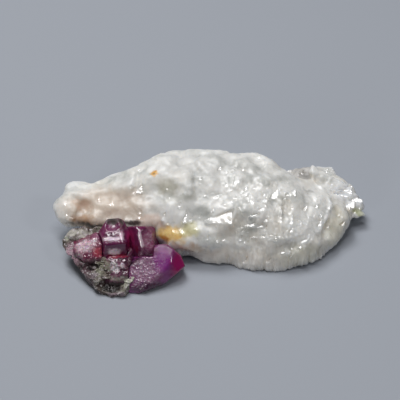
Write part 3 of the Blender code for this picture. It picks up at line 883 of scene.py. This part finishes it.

# %% [markdown]
# ## Mica schist, split
#
# Grey-green mica with brown ground. Painted shade darkens a line under the ledge and makes the pits, the
# trench and the cavity under the flap nearly black. The flakes are small mirrors: a share of them is
# painted pale silver, partly the mica's own colour and partly painted glitter, and each has its own gloss,
# while the ground between them is dull. Painted glints sit at the end of the front ridge. A purple tinge
# runs along the front ridge, where the rock holds fine ruby. Each patch has a centre, three radii, a
# colour and a strength.

# %% The mica's colours and patches
MICA_GREEN = "#8A8679"
MICA_BROWN = "#64524E"
MICA_DARK = "#2A2120"
MICA_SILVER_AND_GLINT = "#C6BEC0"
MICA_PATCHES = {
    "ledge": ((-21.6, -9.0, 4.9), (3.0, 1.3, 1.0), "#BDB8AE", 0.95),
    "ledge tip": ((-23.6, -9.1, 4.4), (0.8, 0.6, 0.5), "#CDD0BC", 0.9),
    "left flank": ((-23.4, -10.9, 3.6), (1.0, 1.6, 1.2), "#4E4839", 0.8),
    # Painted shade under the ledge.
    "painted shade under the ledge": ((-21.6, -9.9, 4.3), (2.4, 0.5, 0.5), "#4A3C3A", 0.75),
    "front ridge": ((-21.0, -14.0, 2.4), (2.8, 2.6, 1.6), "#6A4A58", 0.85),
    "pink dust": ((-22.4, -11.8, 3.5), (1.6, 2.3, 1.5), "#C4A0B0", 0.9),
    # Painted glints at the end of the front ridge.
    "painted glints at the ridge end": ((-18.6, -15.9, 2.3), (0.8, 0.7, 0.7), "#B3A2AC", 0.75),
    "lower left ridge": ((-19.4, -16.2, 1.4), (2.0, 1.6, 1.4), "#64505A", 0.75),
    "crust": ((-17.6, -14.7, 3.1), (1.3, 1.9, 1.2), "#8F8E7B", 0.75),
    "flap": ((-13.6, -16.9, 2.2), (2.8, 1.4, 1.1), "#C0C0B0", 0.95),
    # Painted shade in the cavity under the flap.
    "cavity": ((-15.7, -17.2, 0.5), (2.5, 1.5, 0.95), "#1A1212", 1.0),
    "lip": ((-15.2, -18.9, 0.6), (3.4, 0.7, 0.9), "#94808A", 0.85),
    # Painted shade in the deep pit, the trench and the hole in the crust.
    "deep pit": ((-18.9, -13.8, 3.0), (1.1, 0.8, 0.8), "#1C1412", 0.9),
    "trench": ((-20.3, -14.2, 2.4), (1.8, 0.6, 0.6), "#1A1413", 0.85),
    "crust hole": ((-17.0, -15.3, 2.8), (0.45, 0.45, 0.45), "#221A17", 0.9),
}
CLEAN_LEDGE = {"ledge": (LEDGE_CENTRE, (2.8, 1.2, 0.9), 0.8)}
print("patches on the mica:", len(MICA_PATCHES))

# %% [markdown]
# ## The mica's colour and glitter
#
# Dirt fills the mica in small dark clouds, and the ledge stays nearly clean. The flakes are drawn 0.3 mm
# wide, as coarse as they have to be to show in a picture of the whole specimen.

# %% Make the mica
FLAKE_SIZE = 0.32
MICA_IOR = 1.58

mica, tree, surface, place = new_material("mica schist, split")
bent = bent_place(tree, place, 0.8, 0.5)
colour = mixed(tree, noise_between(tree, place, 1.8, 0.42, 0.6, 6.0), linear(MICA_GREEN), linear(MICA_BROWN))
colour = painted(tree, bent, colour, MICA_PATCHES)
dirt = noise_between(tree, place, 0.8, 0.54, 0.68, 4.0)
clean = most_of(tree, place, CLEAN_LEDGE)
dirty = add_node(tree, "ShaderNodeMath", {0: 1.0, 1: clean}, operation="SUBTRACT").outputs[0]
dirt = add_node(tree, "ShaderNodeMath", {0: dirt, 1: dirty}, operation="MULTIPLY").outputs[0]
colour = mixed(tree, dirt, colour, linear(MICA_DARK))
height, flake_light, flake_gloss = grain_facets(tree, bent, FLAKE_SIZE)
# A share of the flakes is painted pale silver: partly the mica's own colour, partly painted glitter.
silver_flakes_and_glints = add_node(tree, "ShaderNodeMapRange", {0: flake_light, 1: 0.82, 2: 0.88, 4: 0.85}).outputs[0]
colour = mixed(tree, silver_flakes_and_glints, colour, linear(MICA_SILVER_AND_GLINT))
flake_bump = add_node(tree, "ShaderNodeBump", {"Height": height, "Strength": 0.8, "Distance": 1.2})
gloss = add_node(tree, "ShaderNodeMapRange", {0: flake_gloss, 3: 0.65, 4: 0.22}).outputs[0]
tree.links.new(colour, surface.inputs["Base Color"])
tree.links.new(gloss, surface.inputs["Roughness"])
tree.links.new(flake_bump.outputs[0], surface.inputs["Normal"])
surface.inputs["IOR"].default_value = MICA_IOR

finish_piece(rind_shape, "mica_rind_rough", "mica_rind", mica, sharp_degrees=40)

# %% [markdown]
# ## The rubies
#
# Ruby is corundum. Its faces are flat and carry thin growth steps and small etch pits, and where it broke
# it is uneven and glittering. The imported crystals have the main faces, so they only need a finer skin, a
# little growth that closes the gap to their neighbours, and these steps and pits. How strongly a crystal
# is etched changes over it: the right crystal is pitted on the left and nearly clean at its magenta end.

# %% Shape the crystals' skins
RUBY_VOXEL = 0.085
CRYSTAL_GROWTH = 0.11
GROWTH_STEP = 0.22
OVAL_CENTRE = Vector((-15.9, -9.7, 7.0))


def etching(node, place):
    """How strongly the crystal is etched at a place, from 0 for a clean face to 1."""
    if node == "upper_ruby_pair":
        on_oval = share((place - OVAL_CENTRE).length, 1.7, 1.3)
        return 0.05 + 0.3 * on_oval + 0.3 * share(place.z, 5.0, 4.0)
    if node == "right_ruby":
        return 0.12 + 0.55 * share(place.x, -7.5, -9.5)
    return 0.9


def crystal_skin(node):
    """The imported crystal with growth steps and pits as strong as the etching."""

    def relief(place):
        steps = 0.5 * noise.noise(place / 1.7) + 0.12 * place.x
        etched = etching(node, place)
        pits = 0.22 * (terraces(steps, GROWTH_STEP, 0.25) - steps) + 0.16 * bowls(place, 0.7, 1.2)
        return CRYSTAL_GROWTH + etched * (pits + 0.09 * bowls(place, 0.3, 1.2))

    shape = remeshed(copy_of(node), RUBY_VOXEL)
    move_skin(shape, relief)
    keep_main_body(shape)
    return shape


# %% [markdown]
# ## Corundum, natural faces
#
# Corundum bends light strongly, so even a dark ruby has bright reflections. Light that enters comes back
# deep red or magenta after less than a millimetre. One recipe serves all the crystals: a deep tone, a
# tone where light gets through, a table of tinted spots, a table of frosted spots and one of matt spots.
# Among the tinted and frosted spots are painted highlights, glints, glows and shade.
# Frost is ground that is etched into tiny facets, so it is pale and dull, and a few of its facets
# sparkle. Matt ground is dull but not pale.

# %% The ruby recipe
CORUNDUM_IOR = 1.76
RUBY_LIGHT_DEPTH = 0.7
ETCH_GRAIN = 0.17


def make_ruby(name, deep, glow, tints, frost_tone, frost, matt):
    """A ruby from its two tones, its tinted spots, its frost's colour, and its frosted and matt spots."""
    material, tree, surface, place = new_material(name)
    bent = bent_place(tree, place, 0.8, 0.4)
    colour = mixed(tree, noise_between(tree, place, 1.3, 0.42, 0.7, 4.0), linear(deep), linear(glow))
    colour = painted(tree, bent, colour, tints)
    height, speck, gloss = grain_facets(tree, place, ETCH_GRAIN)
    frosted = most_of(tree, bent, frost)
    patchy = noise_between(tree, place, 0.5, 0.3, 0.62, 3.0)
    speckled = add_node(tree, "ShaderNodeMapRange", {0: speck, 1: 0.1, 2: 0.8, 3: 0.25, 4: 1.0}).outputs[0]
    amount = add_node(tree, "ShaderNodeMath", {0: frosted, 1: patchy}, operation="MULTIPLY").outputs[0]
    amount = add_node(tree, "ShaderNodeMath", {0: amount, 1: speckled}, operation="MULTIPLY").outputs[0]
    colour = mixed(tree, amount, colour, linear(frost_tone))
    lean = add_node(tree, "ShaderNodeMapRange", {0: frosted, 3: 0.04, 4: 0.7}).outputs[0]
    bump = add_node(tree, "ShaderNodeBump", {"Height": height, "Strength": lean, "Distance": 1.2})
    dull = add_node(tree, "ShaderNodeMapRange", {0: frosted, 3: 0.09, 4: 0.36}).outputs[0]
    dull = add_node(tree, "ShaderNodeMix", {0: most_of(tree, bent, matt), 2: dull, 3: 0.8}).outputs[0]
    tree.links.new(colour, surface.inputs["Base Color"])
    tree.links.new(dull, surface.inputs["Roughness"])
    tree.links.new(bump.outputs[0], surface.inputs["Normal"])
    surface.inputs["IOR"].default_value = CORUNDUM_IOR
    surface.inputs["Subsurface Weight"].default_value = 0.5
    surface.inputs["Subsurface Radius"].default_value = (1.0, 0.15, 0.4)
    surface.inputs["Subsurface Scale"].default_value = RUBY_LIGHT_DEPTH * MM
    print(name, "nodes:", len(tree.nodes))
    return material


# %% [markdown]
# ## The block and the prism
#
# They are the darkest, nearly glassy. A painted highlight lies on the block's pale shoulder, on a stripe
# down the prism's edge and on a frosted patch of the block's front. A painted red glow lies in the valley
# between them and at the block's foot, and painted shade under the rim of the oval. Mica fringes the top
# of the block, where it meets the marble.

# %% Make the dark purple ruby
purple = make_ruby(
    "corundum, dark purple faces", "#66224A", "#7E3460",
    {
        "prism side": ((-9.9, -10.6, 5.0), (1.4, 1.6, 2.0), "#9C5076", 0.85),
        "valley": ((-13.0, -9.8, 4.2), (0.9, 2.2, 2.6), "#A8306A", 0.9),
        "red glow": ((-12.4, -11.4, 3.8), (0.9, 0.9, 0.9), "#A2243E", 0.75),
        "front band": ((-15.3, -12.4, 5.6), (2.4, 0.7, 0.5), "#5A1644", 0.8),
        # A painted red glow at the block's foot.
        "painted red glow at the block's foot": ((-15.0, -12.8, 3.85), (2.0, 0.5, 0.35), "#982440", 0.9),
        # Painted highlight on the block's shoulder, and on its limb below.
        "shoulder": ((-15.6, -11.55, 6.2), (2.1, 0.5, 0.6), "#EAD6E4", 1.0),
        "shoulder limb": ((-14.25, -10.9, 6.5), (0.45, 1.2, 0.8), "#E2C8DA", 1.0),
        "oval": ((-16.0, -9.9, 6.9), (1.5, 1.4, 0.8), "#7C3A62", 0.85),
        # Painted shade along the oval's lower rim.
        "painted shade under the oval's rim": ((-16.1, -11.05, 6.6), (1.2, 0.3, 0.4), "#4A1238", 0.8),
        # Painted highlight down the prism's edge, in three spots.
        "upper stripe": ((-11.42, -10.3, 6.3), (0.36, 0.8, 0.8), "#E6CFDA", 0.9),
        "middle stripe": ((-11.2, -10.8, 5.6), (0.36, 0.7, 0.7), "#E6CFDA", 0.9),
        "lower stripe": ((-11.0, -11.3, 4.95), (0.34, 0.7, 0.6), "#E0C4D2", 0.85),
        # Painted highlight on the block's front.
        "painted highlight on the block's front": ((-15.5, -12.7, 4.5), (1.1, 0.8, 0.7), "#EAD8E4", 1.0),
        "mica fringe": ((-15.6, -8.2, 7.1), (2.6, 0.9, 0.9), "#3A2A28", 1.0),
    },
    "#F0E2EC",
    {
        # Frost on the block's front, painted near-white as a painted highlight.
        "frosted patch under a painted highlight": ((-15.5, -12.6, 4.6), (1.3, 0.7, 0.75), 1.0),
        "prism foot": ((-10.6, -12.0, 3.2), (1.6, 0.8, 0.8), 0.35),
        "prism side": ((-9.9, -10.6, 5.0), (1.6, 1.8, 2.0), 0.3),
    },
    {
        "fringe": ((-15.6, -8.2, 7.1), (2.6, 0.9, 0.9), 1.0),
        "oval": ((-16.0, -9.9, 6.9), (1.4, 1.3, 0.8), 0.3),
    },
)

# %% [markdown]
# ## The rose crystal
#
# The crystal on the left is broken and etched. Its ground is pale and dusty, and at its lower right the
# light comes through it in a warm red. A white painted glint sits on it, laid on as frost, and painted
# shade darkens the hole at its foot.

# %% Make the rose ruby
rose = make_ruby(
    "corundum, etched rose", "#74344E", "#8C5068",
    {
        "pale ground": ((-20.2, -11.8, 4.9), (1.9, 1.3, 1.1), "#CEA6B6", 0.85),
        "top": ((-18.2, -10.0, 5.7), (1.3, 1.3, 0.6), "#92587A", 0.7),
        "red glow": ((-18.1, -12.5, 4.3), (1.3, 1.0, 1.1), "#C45464", 0.85),
        # Painted shade in the hole at its foot.
        "painted shade at the foot": ((-19.0, -13.4, 3.2), (1.6, 0.7, 0.5), "#2A1418", 0.85),
    },
    "#F6E4EC",
    {
        "pale face": ((-20.2, -11.7, 4.9), (2.1, 1.6, 1.3), 1.0),
        # A painted glint, laid on as frost.
        "sparkle": ((-18.8, -11.4, 5.4), (0.8, 0.7, 0.6), 1.0),
        "lower left": ((-21.2, -12.8, 3.8), (1.0, 0.8, 1.0), 0.7),
    },
    {"painted shade at the foot": ((-19.0, -13.4, 3.2), (1.6, 0.7, 0.5), 1.0)},
)

# %% [markdown]
# ## The lower crystal
#
# This one is broken right through. Between crusts of mica, frosted spots are painted silvery white,
# partly etched ground and partly painted glints. A painted red line glows along its top, under the
# block, and painted shade darkens its side in the cavity.

# %% Make the broken ruby
broken_purple = make_ruby(
    "corundum, broken purple", "#4C2238", "#84506A",
    {
        # A painted red glow along its top, at the block's foot.
        "painted red glow at the block's foot": ((-15.0, -13.2, 4.0), (2.0, 0.45, 0.4), "#9A2440", 0.85),
        "dark side": ((-13.0, -14.8, 3.1), (0.7, 1.2, 1.2), "#4C2636", 0.8),
        "crust on the left": ((-16.7, -15.0, 2.9), (0.8, 2.0, 1.2), "#8B8A79", 0.85),
        "crust below": ((-14.8, -16.3, 2.0), (2.2, 0.6, 0.5), "#8E8880", 0.85),
        # Painted shade on its side in the cavity.
        "painted shade on the cavity side": ((-14.8, -16.8, 0.9), (2.6, 0.8, 0.8), "#2B2020", 0.95),
    },
    "#F6ECF2",
    {
        # Frost, painted near-white as painted glints.
        "left frost with a painted glint": ((-15.4, -15.0, 3.2), (0.9, 1.4, 0.9), 1.0),
        "right frost with a painted glint": ((-14.1, -14.8, 3.4), (0.5, 0.7, 0.5), 1.0),
    },
    {
        "crust on the left": ((-16.7, -15.0, 2.9), (0.8, 2.0, 1.2), 1.0),
        "crust below": ((-14.8, -16.5, 1.6), (2.6, 0.9, 1.2), 1.0),
    },
)

# %% [markdown]
# ## The right crystal
#
# The largest crystal goes from frosted grey-purple on the left through violet to clear magenta at its
# end. Its upper left corner is painted darker, and painted shade darkens its underside.

# %% Make the magenta ruby
magenta = make_ruby(
    "corundum, magenta", "#6E2C5C", "#80407A",
    {
        "grey-purple field": ((-10.6, -15.6, 2.8), (3.2, 3.0, 2.8), "#7A4068", 0.85),
        # Darker towards the upper left corner.
        "darker corner": ((-12.2, -13.9, 3.5), (1.8, 1.3, 1.2), "#4C303E", 0.85),
        "violet": ((-7.6, -14.4, 3.9), (1.8, 2.6, 2.4), "#8A2E86", 0.85),
        "magenta end": ((-4.9, -14.1, 2.8), (1.8, 2.6, 2.8), "#96005A", 0.95),
        # Painted shade on the underside.
        "painted shade at the foot": ((-9.4, -17.3, 0.9), (4.2, 1.4, 1.1), "#3A1630", 0.85),
    },
    "#C9B4C4",
    {
        "speckled field": ((-10.4, -15.4, 2.7), (3.1, 2.4, 2.4), 0.62),
        "speckled edge": ((-11.3, -16.9, 1.7), (1.6, 1.2, 1.4), 0.45),
        "violet frost": ((-8.0, -14.2, 4.2), (1.5, 1.8, 1.3), 0.2),
    },
    {"violet top": ((-8.0, -13.2, 4.8), (2.4, 1.6, 1.2), 0.7)},
)

# %% [markdown]
# ## The crystals' pieces
#
# Each skin takes the place of its packed crystal. Edges sharper than 30 degrees stay sharp, so the faces
# stay flat to the eye.

# %% Dress the four crystals
for node, slot, material, name in (
    ("upper_ruby_pair", "purple_ruby", purple, "block_and_prism_ruby"),
    ("left_ruby", "rose_ruby", rose, "rose_ruby_etched"),
    ("lower_ruby", "purple_ruby", broken_purple, "lower_ruby_broken"),
    ("right_ruby", "magenta_ruby", magenta, "right_ruby_magenta"),
):
    finish_piece(crystal_skin(node), name, node, material, sharp_degrees=30)

# %% [markdown]
# ## Matt board
#
# The table is painted board: pale blue-grey and matt, so it shows soft shadows and no reflections.

# %% Paint the table
BOARD_BLUE_GREY = "#A1A6AF"
BOARD_ROUGHNESS = 0.8

table_paint, _, surface, _ = new_material("matt board, blue-grey")
surface.inputs["Base Color"].default_value = linear(BOARD_BLUE_GREY)
surface.inputs["Roughness"].default_value = BOARD_ROUGHNESS
table_mesh.materials.append(table_paint)
print("table:", table_paint.name)

# %% [markdown]
# ## Sizes and the end
#
# The dressed specimen's box is printed, corner by corner, in millimetres.

# %% Print the dressed box and finish
dressed_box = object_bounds()
for corner in dressed_box:
    print("dressed box corner in mm:", [round(value / MM, 2) for value in corner])
